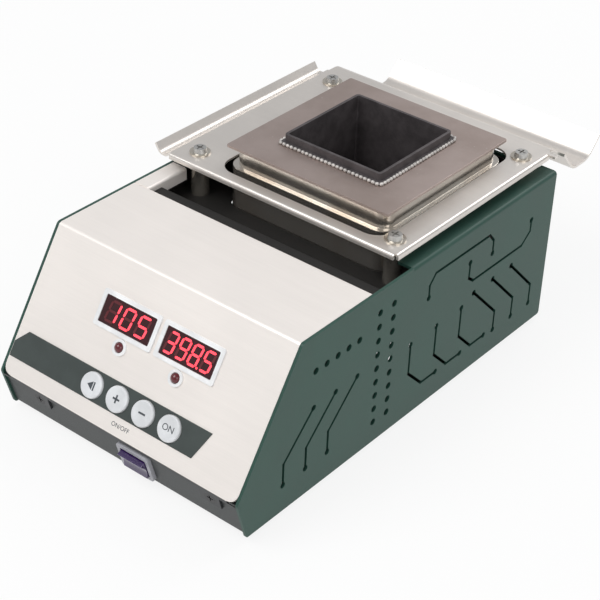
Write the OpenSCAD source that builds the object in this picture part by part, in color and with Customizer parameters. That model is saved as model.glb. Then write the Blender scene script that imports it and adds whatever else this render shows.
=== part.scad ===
// Digital solder pot: a sloped bench case with painted side panels, a stainless cover, a square
// melting pot in a polished heater shell, and a drip tray with gutters, held on four posts.
// Millimetres, +Z up, front at -Y. The origin is the middle of the case's underside.

/* [Case] */
// Width of the case over its painted side panels
body_w = 150; // [140:1:190]
// Depth of the case from the nose to the rear panel
body_d = 244; // [232:1:300]
// Height of the case above its feet
body_h = 86.5; // [84:0.5:110]
// Height of the nose above the floor of the case
nose_h = 22; // [21:0.5:27]
// Depth taken by the sloped control panel
slope_run = 41.5; // [34:0.5:50]
// Depth of the flat plate behind the control panel
top_len = 51.5; // [42:0.5:62]
// How far the strip under the nose runs back
undercut = 6.5; // [4:0.5:9]
// Thickness of the stainless sheet
sheet_t = 1.2; // [0.8:0.1:1.5]
// Thickness of the painted sheet
panel_t = 1.5; // [1:0.1:2]
// Width of the inward flanges of the side panels
flange_w = 9.4; // [8:0.2:11.2]
// Height of the rubber feet
foot_h = 3; // [2:0.5:6]

/* [Side vents] */
// Width of the cut lines
trace_w = 1.5; // [1:0.1:2]
// Diameter of the round ends of the cut lines
trace_end = 3.2; // [2.5:0.1:4]
// Diameter of the round vent holes
vent_d = 3.6; // [2.5:0.1:4.5]
// Distance between the round vent holes
vent_pitch = 7.8; // [6.5:0.1:8.5]

/* [Pot and heater] */
// Inside width of the square pot
pot_in = 56; // [46:0.5:68]
// Wall thickness of the pot
pot_t = 1.6; // [1.2:0.1:2.5]
// Inside depth of the pot
pot_depth = 48; // [36:1:54]
// How far the rim stands above the mounting plate
rim_h = 5.2; // [3:0.2:8]
// Thickness of the heater band around the pot
band_t = 4; // [3:0.5:6]
// Thickness of the insulation around the heater
wool_t = 12; // [8:0.5:14]
// Sideways place of the pot, from the middle of the case
pot_x = 5.4; // [0:0.2:7]
// Distance from the rear panel to the middle of the pot
pot_back = 68; // [66:0.5:80]
// Height of the mounting plate's face above the tray
plate_up = 10.4; // [8:0.2:14]

/* [Drip tray] */
// Height of the tray's face above the top of the case
tray_up = 8.1; // [6:0.1:14]
// Distance from the case's side to the tray's flat edge
tray_inset = 4; // [2:0.5:8]
// Distance from the middle of the pot to the tray's front edge
tray_front = 62; // [61:0.2:72]
// Distance from the middle of the pot to the root of the rear gutter
tray_back = 74.5; // [68:0.5:90]
// Depth of the rear gutter
gutter_depth = 14.5; // [8:0.5:18]
// Width of the rear gutter
gutter_w = 36; // [28:0.5:44]
// Height of the turned-down lip on the tray's front and right edges
tray_lip = 3; // [2:0.5:5]
// Diameter of the posts under the tray
post_d = 9.4; // [8:0.2:11]

/* [Control panel] */
// Width of a display window
window_w = 31.5; // [26:0.5:34]
// Height of a display window
window_h = 13.5; // [10:0.5:15]
// Diameter of the round keys
key_d = 12.6; // [10:0.2:14]
// Distance between the round keys
key_pitch = 16.1; // [15.6:0.1:17]
// Travel of a key
key_travel = 0.8; // [0.5:0.1:1]
// Gap between parts that move past each other
run_gap = 0.3; // [0.2:0.05:0.4]

/* [Hidden] */
$fn = 48;

base_z = 0;
top_z = base_z + body_h;
nose_z = base_z + nose_h;
nose_y = -body_d / 2;
back_y = body_d / 2;
fold_y = nose_y + slope_run;
well_y = fold_y + top_len;
in_x = body_w / 2 - panel_t;          // inner face of a side panel
fit = 0.1;                            // seat gap between folded sheets
cover_x = in_x - fit;                 // half width of the cover between the side panels
panel_a = atan2(top_z - nose_z, slope_run);
panel_len = norm([slope_run, top_z - nose_z]);
strip_len = norm([undercut, nose_h]);
strip_a = 90 + atan2(undercut, nose_h);
bend_r = 2;                           // outer radius of a sheet's bend
bend_n = 5;                           // flats in a sheet's bend

// Pot and heater, outwards and downwards from the rim
pot_y = back_y - pot_back;
tray_z = top_z + tray_up;
plate_z = tray_z + plate_up;
plate_t = 1.5;
rim_z = plate_z + rim_h;
pot_out = pot_in + 2 * pot_t;
bead_w = 1.6;                         // width of the pot's seating flange
bead_t = 1.2;
pot_floor_z = rim_z - pot_depth - pot_t;
hang = 0.2;                           // side clearance in the heater stack
band_out = pot_out + 2 * (hang + band_t);
wool_out = band_out + 2 * wool_t;
shell_t = 1;
neck_out = wool_out + 2 * shell_t + 0.4;
ledge_w = 2.8;                        // step between the neck and the body of the shell
shell_out = neck_out + 2 * ledge_w;
shell_r = 9;
wool_r = 7;
ledge_z = tray_z - 0.8;
neck_lip = 4;                         // inward lip that carries the mounting plate
plate_w = neck_out + 5;
shell_floor_z = pot_floor_z - 18;
leg_at = [42, shell_out / 2 + 3.7];
leg_d = 8;
cut_gap = [1, 5.7];                   // gaps from the shell to the tray's cut-out, across and along
cut_w = shell_out + 2 * cut_gap.x;
cut_len = shell_out + 2 * cut_gap.y;
cut_r = 10;

// Tray
tray_x0 = -body_w / 2 + tray_inset;
tray_x1 = body_w / 2 - tray_inset - 1;
tray_y0 = pot_y - tray_front;
tray_y1 = pot_y + tray_back;
tray_t = 1.2;
gutter_x0 = tray_x0 + 14;
gutter_x1 = tray_x1 + 3.5;
gutter_lip = 4.5;                     // how far the gutter's lip is below the flat
wing_w = 9;
wing_y1 = tray_y1 - 9;
post_gap = 0.4;                       // from a post to the side panel's flange
post_x = body_w / 2 - flange_w - post_gap - post_d / 2;
post_dy = shell_out / 2 + 3.1;
post_mid = pot_y + 2.4;
post_bore = 3.2;
screw_d = 4;
washer_d = 10.6;
washer_t = 0.8;

// Well behind the top plate
well_floor_z = top_z - 14.5;
pan_t = 1.2;
pan_front_y = well_y + 9.4;
pan_back_y = back_y - panel_t - 2;
pan_ledge = 8;                        // how far the pan's front ledge reaches under the cover
cover_lip = 3;                        // turned-down rear edge of the cover
arm_w = 9;                            // left arm of the cover, beside the well
arm_drop = 6.6;
arm_end_y = post_mid - post_dy - post_d / 2 - 1;
flange_y0 = arm_end_y + 2;            // front end of the side panels' top flanges

// Control panel, measured down the slope from the fold
display_s = 26.2;
display_x = [-15.6, 22.4];
bezel_rim = 2.2;
bezel_up = 0.8;
led_s = 39.5;
led_x = [-14.4, 20.5];
band_s = [53.5, 68];
key_s = 61;
key_x0 = 3.3 - 1.5 * key_pitch;
key_up = 1.6;
key_flange_d = key_d + 2.6;
overlay_t = 0.3;
board_top = 8.6;                      // depth of the board's face below the panel's face
board_t = 1.6;
board_w = 104;
board_s = [14, 70];
standoff_at = [for (x = [-44, 52], s = [17.5, 50]) [x, s]];
module_w = [22.6, 30];
module_h = 14;
stem_end = 4.2;
actuator = stem_end + key_travel + run_gap;

// Strip under the nose
tab_x = [-50, 57.5];
tab_w = 12;
tab_len = 10;
hem_len = 2.6;
switch_x = 10.5;
switch_s = 12.4;
switch_w = 20;
switch_h = 16.5;
rocker_w = 15;
rocker_h = 11;
bezel_t = 2;
rocker_tilt = 9;
pivot_in = 3;                         // depth of the rocker's pivot below the bezel's face
pivot_d = 2.4;
pivot_len = 1.4;

// Parts on the floor of the case and on the rear panel
floor_z = base_z + panel_t;
foot_x = body_w / 2 - 15;
foot_y = [nose_y + undercut + 14, back_y - 15];
rear_flange = 10;
rear_screw_x = in_x - rear_flange / 2;
base_lip = 10;                        // rear lip of the base pan
rear_screw_z = [base_z + base_lip + 6, top_z - 24];
inlet_at = [-18, base_z + 24];
inlet_size = [24, 16.6];              // opening of the mains inlet
inlet_depth = 16;
inlet_wall = 1.6;
inlet_pitch = 40;
fuse_at = [32, base_z + 24];
board2_w = 62;
board2_d = 50;
board2_at = [-30, fold_y + 26];
board2_z = floor_z + 6;
core_at = [36, fold_y + 24];
m3 = 3;

function unit(v) = v / norm(v);

// Points of a round of radius r in the corner b of the line a, b, c
function corner(a, b, c, r, n) =
    let (
        u = unit(a - b),
        w = unit(c - b),
        half = acos(u * w) / 2,
        centre = b + unit(u + w) * r / sin(half),
        from = b + u * r / tan(half) - centre,
        to = b + w * r / tan(half) - centre,
        start = atan2(from.y, from.x),
        turn = (atan2(to.y, to.x) - start + 540) % 360 - 180
    )
    [for (i = [0:n]) centre + r * [cos(start + turn * i / n), sin(start + turn * i / n)]];

// A line with its inner corners rounded
function bent(p, r, n = bend_n) = concat(
    [p[0]],
    [for (i = [1:len(p) - 2]) each corner(p[i - 1], p[i], p[i + 1], is_list(r) ? r[i - 1] : r, n)],
    [p[len(p) - 1]]
);

// The same line moved t to its left
function shifted(p, t) = [
    for (i = [0:len(p) - 1])
        let (
            d0 = i == 0 ? unit(p[1] - p[0]) : unit(p[i] - p[i - 1]),
            d1 = i == len(p) - 1 ? d0 : unit(p[i + 1] - p[i]),
            n0 = [-d0.y, d0.x],
            m = unit(n0 + [-d1.y, d1.x])
        )
        p[i] + m * t / (m * n0)
];

function ribbon(p, t) = let (q = shifted(p, t)) concat(p, [for (i = [len(q) - 1:-1:0]) q[i]]);

// A folded sheet: its line in the Y-Z plane, run along X
module sheet_x(line, t, x0, x1) {
    translate([x0, 0, 0]) rotate([90, 0, 90]) linear_extrude(x1 - x0) polygon(ribbon(line, t));
}

// A folded sheet: its line in the X-Z plane, run along Y
module sheet_y(line, t, y0, y1) {
    translate([0, y1, 0]) rotate([90, 0, 0]) linear_extrude(y1 - y0) polygon(ribbon(line, t));
}

module box(x0, x1, y0, y1, z0, z1) {
    translate([x0, y0, z0]) cube([x1 - x0, y1 - y0, z1 - z0]);
}

// A plate with rounded corners, centred, from z0 to z1
module round_plate(w, d, r, z0, z1) {
    translate([0, 0, z0]) linear_extrude(z1 - z0) round_rect(w, d, r);
}

module round_rect(w, d, r) {
    polygon([
        for (q = [0:3], i = [0:6])
            let (
                s = [q == 0 || q == 3 ? 1 : -1, q < 2 ? 1 : -1],
                a = 90 * q + 15 * i
            )
            [s.x * (w / 2 - r), s.y * (d / 2 - r)] + r * [cos(a), sin(a)]
    ]);
}

// Children on the control panel: x across, s down the slope, +Z out of the face
module on_panel(x, s) {
    translate([x, fold_y - s * cos(panel_a), top_z - s * sin(panel_a)]) rotate([panel_a, 0, 0]) children();
}

// Children on the strip under the nose: s down from the nose, +Z out of the face
module on_strip(x, s) {
    translate([x, nose_y + s * undercut / strip_len, nose_z - s * nose_h / strip_len])
        rotate([strip_a, 0, 0]) children();
}

// Children on the rear panel's outer face, +Z out of it
module on_rear(x, z) {
    translate([x, back_y, z]) rotate([-90, 0, 0]) children();
}

// A screw with its head above z = 0
module screw(d, len, head_d, head_h) {
    difference() {
        union() {
            translate([0, 0, -len]) cylinder(d = d, h = len);
            cylinder(d1 = head_d, d2 = head_d - 1, h = head_h);
        }
        for (a = [0, 90]) rotate(a) translate([-head_d * 0.3, -0.4, head_h * 0.45]) cube([head_d * 0.6,
            0.8, head_h]);
    }
}

// A screw whose head is flush at z = 0
module flat_screw(d, len, head_d) {
    difference() {
        union() {
            translate([0, 0, -len]) cylinder(d = d, h = len);
            translate([0, 0, -sheet_t]) cylinder(d1 = d, d2 = head_d, h = sheet_t);
        }
        for (a = [0, 90]) rotate(a) translate([-head_d * 0.3, -0.35, -0.7]) cube([head_d * 0.6, 0.7, 1]);
    }
}

// ---- Case ----

strip_in = sheet_t + fit;

// A point of the strip's line, s down from the nose and t in from the outer face
function on_strip_line(s, t) =
    [nose_y, nose_z] + s * [undercut, -nose_h] / strip_len + t * [nose_h, undercut] / strip_len;

module base_pan() {
    front_top = on_strip_line(hem_len - 0.6, strip_in);
    slope = [undercut, -nose_h] / strip_len;
    front_low = front_top + slope * (front_top.y - base_z) / -slope.y;
    line = bent([front_top, front_low, [back_y - panel_t - fit, base_z], [back_y - panel_t - fit,
        base_z + base_lip]],
        bend_r);
    color("dimgray") difference() {
        sheet_x(line, panel_t, -cover_x, cover_x);
        on_strip(switch_x, switch_s) translate([0, 0, -10])
            linear_extrude(20) square([switch_w - 0.8, switch_h - 3.4], center = true);
        for (x = tab_x) on_strip(x, tab_len / 2 + 1) translate([0, 0, -10]) cylinder(d = m3, h = 12);
        for (x = [-foot_x, foot_x], y = foot_y) translate([x, y, base_z - 1]) cylinder(d = m3,
            h = panel_t + 2);
        for (x = [-1, 1], y = base_screw_y) translate([x * base_screw_x, y, base_z - 1])
            cylinder(d = m3, h = panel_t + 2);
        for (x = [-1, 1], y = [-1, 1])
            translate([pot_x + x * leg_at.x, pot_y + y * leg_at.y, base_z - 1]) cylinder(d = m3,
                h = panel_t + 2);
        for (x = [-1, 1], y = [-1, 1])
            translate([board2_at.x + x * (board2_w / 2 - 5), board2_at.y + y * (board2_d / 2 - 5),
                base_z - 1])
                cylinder(d = m3, h = panel_t + 2);
        for (i = [-4:4]) translate([pot_x + i * 9, pot_y, 0]) round_plate(4, 50, 1.9, base_z - 1,
            floor_z + 1);
    }
}

base_screw_x = in_x - 6;
base_screw_y = [nose_y + undercut + 34, 0, back_y - 38];

// Outline of a side panel in the Y-Z plane, with rounded corners
function side_outline() =
    let (
        low = [nose_y + undercut, base_z],
        p = [[0, base_z], [back_y, base_z], [back_y, top_z], [fold_y, top_z], [nose_y, nose_z], low, [0,
            base_z]]
    )
    bent(p, [1.5, 1.5, 2.5, 2.5, 1.5]);

// Cut lines of the vents: points in (y, height above the floor)
front_trace = [[0, 32], [-20, 12], [-20, 0]];
hook_trace = [[0, 28.5], [0, 11.5], [11.5, 0], [23.5, 0]];
rear_trace = [[0, 33.5], [22, 11.5], [22, 0]];
upper_trace = [[0, 0], [0, 7], [4.5, 12], [49.5, 12], [53.5, 7.5], [53.5, 0]];
lower_trace = [[0, 12], [0, 3], [4, 0], [47, 0], [54, 5.5], [54, 12]];

// A cutter along a line, with round joints and larger round ends
module trace(line) {
    n = len(line) - 1;
    for (i = [0:n - 1]) {
        d = line[i + 1] - line[i];
        translate(line[i]) rotate(atan2(d.y, d.x)) translate([0, -trace_w / 2]) square([norm(d), trace_w]);
    }
    for (i = [1:n - 1]) translate(line[i]) circle(d = trace_w + 0.2, $fn = 20);
    for (i = [0, n]) translate(line[i]) circle(d = trace_end, $fn = 24);
}

// All the openings of one side panel, in the Y-Z plane
module side_vents() {
    low = base_z + 15;
    for (i = [0:4]) translate([fold_y + 9.8 + i * vent_pitch, base_z + 67]) circle(d = vent_d, $fn = 24);
    for (y = [0, 10.5], i = [0:8]) translate([well_y + 4.3 + y, base_z + 12 + i * vent_pitch])
        circle(d = vent_d, $fn = 24);
    for (i = [0:2]) translate([fold_y + 9.3 + i * 15.8, low]) trace(front_trace);
    for (i = [0:2]) translate([well_y + 31 + i * 21, low - 1]) trace(hook_trace);
    for (i = [0:2]) translate([well_y + 83 + i * 16.6, low - 2]) trace(rear_trace);
    translate([well_y + 43, base_z + 63.2]) trace(upper_trace);
    translate([well_y + 77, base_z + 54.8]) trace(lower_trace);
}

// The right-hand side panel; the left one is its mirror image
module side_panel() {
    outer = body_w / 2;
    difference() {
        union() {
            difference() {
                translate([in_x, 0, 0]) rotate([90, 0, 90]) linear_extrude(panel_t) polygon(side_outline());
                box(in_x - 1, outer + 1, flange_y0, back_y + 1, top_z - bend_r, top_z + 1);
            }
            sheet_y(
                bent([[outer, top_z - bend_r], [outer, top_z], [outer - flange_w, top_z]], bend_r - 0.01),
                panel_t, flange_y0, back_y);
            box(in_x - 12, in_x, base_screw_y[0] - 14, back_y - 14, floor_z, floor_z + panel_t);
            box(in_x - rear_flange, in_x, back_y - 2 * panel_t - fit, back_y - panel_t - fit,
                base_z + base_lip + 0.5, top_z - panel_t - fit);
        }
        translate([in_x - 1, 0, 0]) rotate([90, 0, 90]) linear_extrude(panel_t + 2) side_vents();
        for (y = base_screw_y) translate([base_screw_x, y, 0]) cylinder(d = m3, h = floor_z + panel_t + 1);
        for (z = rear_screw_z) on_rear(rear_screw_x, z) translate([0, 0, -6]) cylinder(d = m3, h = 6);
    }
}

module side_panel_left() {
    color("#2f4f43") mirror([1, 0, 0]) side_panel();
}

module side_panel_right() {
    color("#2f4f43") side_panel();
}

module rear_panel() {
    z1 = top_z - panel_t - fit;
    color("#2f4f43") difference() {
        box(-cover_x, cover_x, back_y - panel_t, back_y, base_z + 0.5, z1);
        for (x = [-1, 1], z = rear_screw_z) on_rear(x * rear_screw_x, z) translate([0, 0, -3])
            cylinder(d = m3, h = 4);
        on_rear(inlet_at.x, inlet_at.y) translate([0, 0, -3]) linear_extrude(4)
            inlet_outline(inlet_wall + 0.1);
        for (x = [-1, 1]) on_rear(inlet_at.x + x * inlet_pitch / 2, inlet_at.y) translate([0, 0, -3])
            cylinder(d = m3, h = 4);
        on_rear(fuse_at.x, fuse_at.y) translate([0, 0, -3]) cylinder(d = 12, h = 4);
        for (i = [-5:5]) on_rear(i * 7, (base_z + z1) / 2 + 8) translate([0, 0, -3]) linear_extrude(4)
            vent_slot();
    }
}

module vent_slot() {
    square([2.4, 18], center = true);
    for (y = [-9, 9]) translate([0, y]) circle(d = 2.6, $fn = 20);
}

module front_cover() {
    rear = [well_y, top_z];
    hem = on_strip_line(tab_len, 0);
    line = bent([[well_y, top_z - cover_lip], rear, [fold_y, top_z], [nose_y, nose_z], hem], [1.5, 2.5, 2.5]);
    color("gainsboro") difference() {
        union() {
            sheet_x(line, sheet_t, -cover_x, cover_x);
            cover_arm();
        }
        cover_hem_cuts();
        for (x = tab_x) on_strip(x, tab_len / 2 + 1) translate([0, 0, -sheet_t - 1])
            cylinder(d = m3 + 0.4, h = sheet_t + 2);
        for (x = tab_x) on_strip(x, tab_len / 2 + 1) translate([0, 0, -sheet_t])
            cylinder(d1 = m3 + 0.4, d2 = 6.6, h = sheet_t + 0.02);
        for (x = display_x) on_panel(x, display_s) round_plate(window_w + 2, window_h + 2, 1, -4, 2);
        for (x = led_x) on_panel(x, led_s) translate([0, 0, -4]) cylinder(d = 6.6, h = 6);
        for (i = [0:3]) on_panel(key_x0 + i * key_pitch, key_s) translate([0, 0, -4])
            cylinder(d = key_d + 2 * run_gap, h = 6);
        for (side = [-1, 1]) on_panel(side * cover_x, panel_len) panel_corner_cut(side);
    }
}

// Takes the sharp lower corner off the control panel
module panel_corner_cut(side) {
    r = 5;
    difference() {
        translate([side > 0 ? -r : -1, -1, -4]) cube([r + 1, r + 1, 8]);
        translate([-side * r, r, -5]) cylinder(r = r, h = 10);
    }
}

// Leaves a narrow hem along the nose, and a tab at each screw
module cover_hem_cuts() {
    edges = [-cover_x - 1, tab_x[0] - tab_w / 2, tab_x[0] + tab_w / 2, tab_x[1] - tab_w / 2,
        tab_x[1] + tab_w / 2,
        cover_x + 1];
    for (i = [0:2])
        on_strip(0, 0) translate([edges[2 * i], -tab_len - 3, -sheet_t - 1])
            cube([edges[2 * i + 1] - edges[2 * i], tab_len + 3 - hem_len, sheet_t + 3]);
}

// Arm of the cover along the left of the well, with a turned-down inner edge
module cover_arm() {
    x1 = -cover_x + arm_w;
    line = bent([[-cover_x, top_z], [x1, top_z], [x1, top_z - arm_drop]], 1.5);
    sheet_y([for (i = [len(line) - 1:-1:0]) line[i]], sheet_t, well_y - sheet_t / 2, arm_end_y);
}

// Dark pan that closes the well round the heater, carries the tray's posts and ledges the cover
module well_pan() {
    x1 = cover_x;
    x2 = -cover_x + arm_w + fit;
    low = well_floor_z - pan_t;
    wall_y = pan_front_y - pan_t;
    ledge_top = top_z - cover_lip - fit;
    side_top = top_z - panel_t - 0.6;
    trough = [[wall_y, low], [pan_back_y, low], [pan_back_y, side_top]];
    color("#262322") difference() {
        union() {
            sheet_x(bent(concat([[well_y - pan_ledge, ledge_top - pan_t], [wall_y, ledge_top - pan_t]],
                trough),
                [0.3, bend_r + pan_t, bend_r + pan_t]), pan_t, x2, x1);
            sheet_x(bent(concat([[wall_y, top_z - arm_drop - 1.2]], trough), bend_r + pan_t), pan_t, -x1, x2);
            for (side = [-1, 1])
                box(min(side * x1, side * (x1 - pan_t)), max(side * x1, side * (x1 - pan_t)),
                    wall_y + 2 * pan_t, pan_back_y - 2 * pan_t, low, side_top);
        }
        at_pot() round_plate(shell_out + 1, shell_out + 1, shell_r + 0.5, low - 1, well_floor_z + 1);
        at_posts() translate([0, 0, low - 1]) cylinder(d = post_bore, h = 6);
    }
}

// ---- Drip tray ----

function gutter_line() =
    let (z = tray_z, y = tray_y1)
    bent([
        [tray_y0, z - tray_lip], [tray_y0, z], [y, z], [y + gutter_w * 0.35, z - gutter_depth],
        [y + gutter_w * 0.74, z - gutter_depth], [y + gutter_w, z - gutter_lip]
    ], [1.5, 9, 8, 8], 6);

module drip_tray() {
    z = tray_z;
    color("lightgray") difference() {
        union() {
            difference() {
                sheet_x([for (p = gutter_line()) p], -tray_t, tray_x0, gutter_x1);
                box(tray_x1 - 2, gutter_x1 + 1, tray_y0 - 1, tray_y1 - 8, z - 10, z + 5);
                box(tray_x0 - 1, gutter_x0, tray_y1 + 2.5, tray_y1 + 60, z - 30, z + 20);
            }
            right_lip();
            left_wing();
        }
        translate([pot_x, pot_y, 0]) round_plate(cut_w, cut_len, cut_r, z - 5, z + 5);
        for (x = [-1, 1], y = [-1, 1])
            translate([x * post_x, post_mid + y * post_dy, z - 5]) cylinder(d = screw_d + 0.3, h = 10);
        translate([tray_x1 + 1.5, tray_y1 - 2, z - 12]) cylinder(r = 4, h = 20);
        translate([gutter_x0, tray_y1 + 2.5, z - 12]) cylinder(r = 2, h = 20);
    }
}

module right_lip() {
    x1 = tray_x1;
    line = bent([[x1 - 2, tray_z], [x1, tray_z], [x1, tray_z - tray_lip]], 1.5);
    sheet_y(line, -tray_t, tray_y0 + 1.5, tray_y1 - 8);
}

module left_wing() {
    x = tray_x0;
    z = tray_z;
    line = bent([[x, z], [x - 1, z], [x - 3.5, z - 2.5], [x - wing_w + 2, z - 2.5], [x - wing_w - 1, z + 2]],
        [1.5, 3, 3]);
    sheet_y([for (i = [len(line) - 1:-1:0]) line[i]], -tray_t, tray_y0 + 1.5, wing_y1);
}

module at_posts() {
    for (x = [-1, 1], y = [-1, 1]) translate([x * post_x, post_mid + y * post_dy, 0]) children();
}

module tray_posts() {
    z0 = well_floor_z;
    z1 = tray_z - tray_t;
    color("silver") at_posts() difference() {
        translate([0, 0, z0]) cylinder(d = post_d, h = z1 - z0);
        translate([0, 0, z0 - 1]) cylinder(d = post_bore, h = z1 - z0 + 2);
    }
}

module tray_washers() {
    color("silver") at_posts() translate([0, 0, tray_z]) difference() {
        cylinder(d = washer_d, h = washer_t);
        translate([0, 0, -1]) cylinder(d = screw_d + 0.3, h = 3);
    }
}

module tray_screws() {
    color("gray") at_posts() translate([0, 0, tray_z + washer_t]) screw(post_bore - 0.1, 12, 7.4, 2.2);
}

module post_screws() {
    color("gray") at_posts() translate([0, 0, well_floor_z - pan_t]) mirror([0, 0, 1])
        screw(post_bore - 0.1, pan_t + 7, 6.4, 2);
}

// ---- Pot and heater ----

module square_ring(out_w, in_w, z0, z1, r_out = 0.01, r_in = 0.01) {
    difference() {
        round_plate(out_w, out_w, r_out, z0, z1);
        round_plate(in_w, in_w, r_in, z0 - 1, z1 + 1);
    }
}

module at_pot() {
    translate([pot_x, pot_y, 0]) children();
}

module pot() {
    color("#4a4648") at_pot() difference() {
        union() {
            round_plate(pot_out, pot_out, 2, pot_floor_z, rim_z);
            round_plate(pot_out + 2 * bead_w, pot_out + 2 * bead_w, 2.5, plate_z, plate_z + bead_t);
        }
        round_plate(pot_in, pot_in, 1, pot_floor_z + pot_t, rim_z + 1);
    }
}

module mounting_plate() {
    color("rosybrown") at_pot() square_ring(plate_w, pot_out + 0.6, plate_z - plate_t, plate_z, 1, 2);
}

// Polished can with a narrower neck, open below
module heater_shell() {
    z0 = shell_floor_z;
    z1 = plate_z - plate_t;
    color("silver") at_pot() difference() {
        union() {
            round_plate(shell_out, shell_out, shell_r, z0, ledge_z);
            round_plate(neck_out, neck_out, shell_r - 2, ledge_z - 1, z1);
        }
        round_plate(shell_out - 2 * shell_t, shell_out - 2 * shell_t, shell_r - shell_t, z0 - 1,
            ledge_z - shell_t);
        round_plate(neck_out - 2 * shell_t, neck_out - 2 * shell_t, shell_r - 2 - shell_t, z0, z1 - shell_t);
        round_plate(neck_out - 2 * neck_lip, neck_out - 2 * neck_lip, 3, z0, z1 + 1);
    }
}

band_z = [pot_floor_z + 4, plate_z - plate_t - 8];

module heater_band() {
    color("tan") at_pot() {
        square_ring(band_out, pot_out + 2 * hang, band_z[0], band_z[1], 3, 2);
    }
}

module insulation_sleeve() {
    color("ivory") at_pot()
        difference() {
            square_ring(wool_out, band_out + 0.4, shell_floor_z + 14.5,
                plate_z - plate_t - shell_t - 0.2, wool_r, 3);
            translate([0, -wool_out / 2 - 1, band_z[0] + 6]) rotate([-90, 0, 0]) cylinder(d = 6,
                h = wool_t + 3);
        }
}

module insulation_floor() {
    color("ivory") at_pot() difference() {
        round_plate(wool_out, wool_out, wool_r, shell_floor_z + 0.2, shell_floor_z + 14.2);
        translate([0, 0, shell_floor_z - 1]) cylinder(d = 5.4, h = 20);
    }
}

// Plate that closes the can from below
module shell_base() {
    color("silver") at_pot() difference() {
        round_plate(shell_out + 4, 2 * leg_at.y + 11, 5, shell_floor_z - 1.5, shell_floor_z);
        translate([0, 0, shell_floor_z - 3]) cylinder(d = 5.4, h = 6);
        for (x = [-1, 1], y = [-1, 1]) translate([x * leg_at.x, y * leg_at.y, shell_floor_z - 3])
            cylinder(d = m3, h = 6);
    }
}

module shell_legs() {
    color("silver") at_pot() for (x = [-1, 1], y = [-1, 1]) translate([x * leg_at.x, y * leg_at.y,
        floor_z]) difference() {
        cylinder(d = leg_d, h = shell_floor_z - 1.5 - floor_z);
        translate([0, 0, -1]) cylinder(d = m3 - 0.4, h = shell_floor_z);
    }
}

module leg_screws() {
    color("gray") at_pot() for (x = [-1, 1], y = [-1, 1]) translate([x * leg_at.x, y * leg_at.y, 0]) {
        translate([0, 0, shell_floor_z]) screw(m3 - 0.5, 8, 5.6, 1.8);
        translate([0, 0, base_z]) mirror([0, 0, 1]) screw(m3 - 0.5, 8, 5.6, 1.8);
    }
}

// Sheathed probe that comes up through the base to the pot's floor
module thermocouple() {
    z0 = shell_floor_z - 6;
    color("darkgray") at_pot() {
        translate([0, 0, z0]) cylinder(d = 5, h = pot_floor_z - 0.3 - z0);
        translate([0, 0, z0 - 3]) cylinder(d = 8, h = 4);
    }
}

// ---- Control panel ----

module key_overlay() {
    x0 = -cover_x + 0.4;
    color("#24382f") on_panel(0, 0) difference() {
        linear_extrude(overlay_t) polygon([
            [x0, -band_s[1]], [x0, -band_s[0] - 7], [x0 + 6.5, -band_s[0]], [49.4, -band_s[0]], [43.6,
                -band_s[1]]
        ]);
        for (i = [0:3]) translate([key_x0 + i * key_pitch, -key_s, -1])
            cylinder(d = key_d + 2 * run_gap, h = 3);
    }
}

module key_cap() {
    translate([0, 0, -sheet_t - run_gap]) cylinder(d = key_d, h = sheet_t + run_gap + key_up - 0.5);
    translate([0, 0, key_up - 0.5]) cylinder(d1 = key_d, d2 = key_d - 1, h = 0.5);
    translate([0, 0, -sheet_t - run_gap - 1]) cylinder(d = key_flange_d, h = 1);
    translate([0, 0, -stem_end]) cylinder(d = 5, h = stem_end - sheet_t);
}

module key(i) {
    color("whitesmoke") on_panel(key_x0 + i * key_pitch, key_s) key_cap();
}

module key_set() { key(0); }

module key_plus() { key(1); }

module key_minus() { key(2); }

module key_on() { key(3); }

module key_switches() {
    color("#222222") for (i = [0:3]) on_panel(key_x0 + i * key_pitch, key_s) {
        translate([-3, -3, -board_top]) cube([6, 6, board_top - actuator - 0.6]);
        translate([0, 0, -actuator - 0.7]) cylinder(d = 3.4, h = 0.7);
    }
}

module display_bezel(i) {
    color("silver") on_panel(display_x[i], display_s) difference() {
        union() {
            round_plate(window_w + 2 * bezel_rim, window_h + 2 * bezel_rim, 1.2, 0, bezel_up);
            round_plate(window_w + 1.8, window_h + 1.8, 0.9, -sheet_t - 0.8, 0.2);
        }
        round_plate(window_w, window_h, 0.6, -4, 2);
    }
}

module display_bezel_left() { display_bezel(0); }

module display_bezel_right() { display_bezel(1); }

module display_window(i) {
    color("#5a0a0e") on_panel(display_x[i], display_s)
        round_plate(window_w - 0.1, window_h - 0.1, 0.55, -sheet_t - 0.2, bezel_up - 0.4);
}

module display_window_left() { display_window(0); }

module display_window_right() { display_window(1); }

module display_module(i) {
    color("#303030") on_panel(display_x[i], display_s)
        translate([-module_w[i] / 2, -module_h / 2, -board_top]) cube([module_w[i], module_h,
            board_top - 2.4]);
}

module display_module_left() { display_module(0); }

module display_module_right() { display_module(1); }

module led_holders() {
    color("#1c1c1c") for (x = led_x) on_panel(x, led_s) difference() {
        union() {
            cylinder(d = 8, h = 0.8);
            translate([0, 0, -3]) cylinder(d = 6.4, h = 3.2);
        }
        translate([0, 0, -5]) cylinder(d = 5.2, h = 8);
    }
}

module led(x) {
    color("#7a1418") on_panel(x, led_s) {
        translate([0, 0, -board_top]) cylinder(d = 5, h = board_top);
        sphere(d = 5);
        translate([0, 0, -4.5]) cylinder(d = 5.8, h = 1);
    }
}

module leds() {
    for (x = led_x) led(x);
}

module control_board() {
    color("seagreen") on_panel(4, board_s[1]) difference() {
        translate([-board_w / 2, 0, -board_top - board_t]) cube([board_w, board_s[1] - board_s[0], board_t]);
        for (p = standoff_at) translate([p.x - 4, board_s[1] - p.y, -20]) cylinder(d = m3 + 0.2, h = 30);
    }
}

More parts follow.
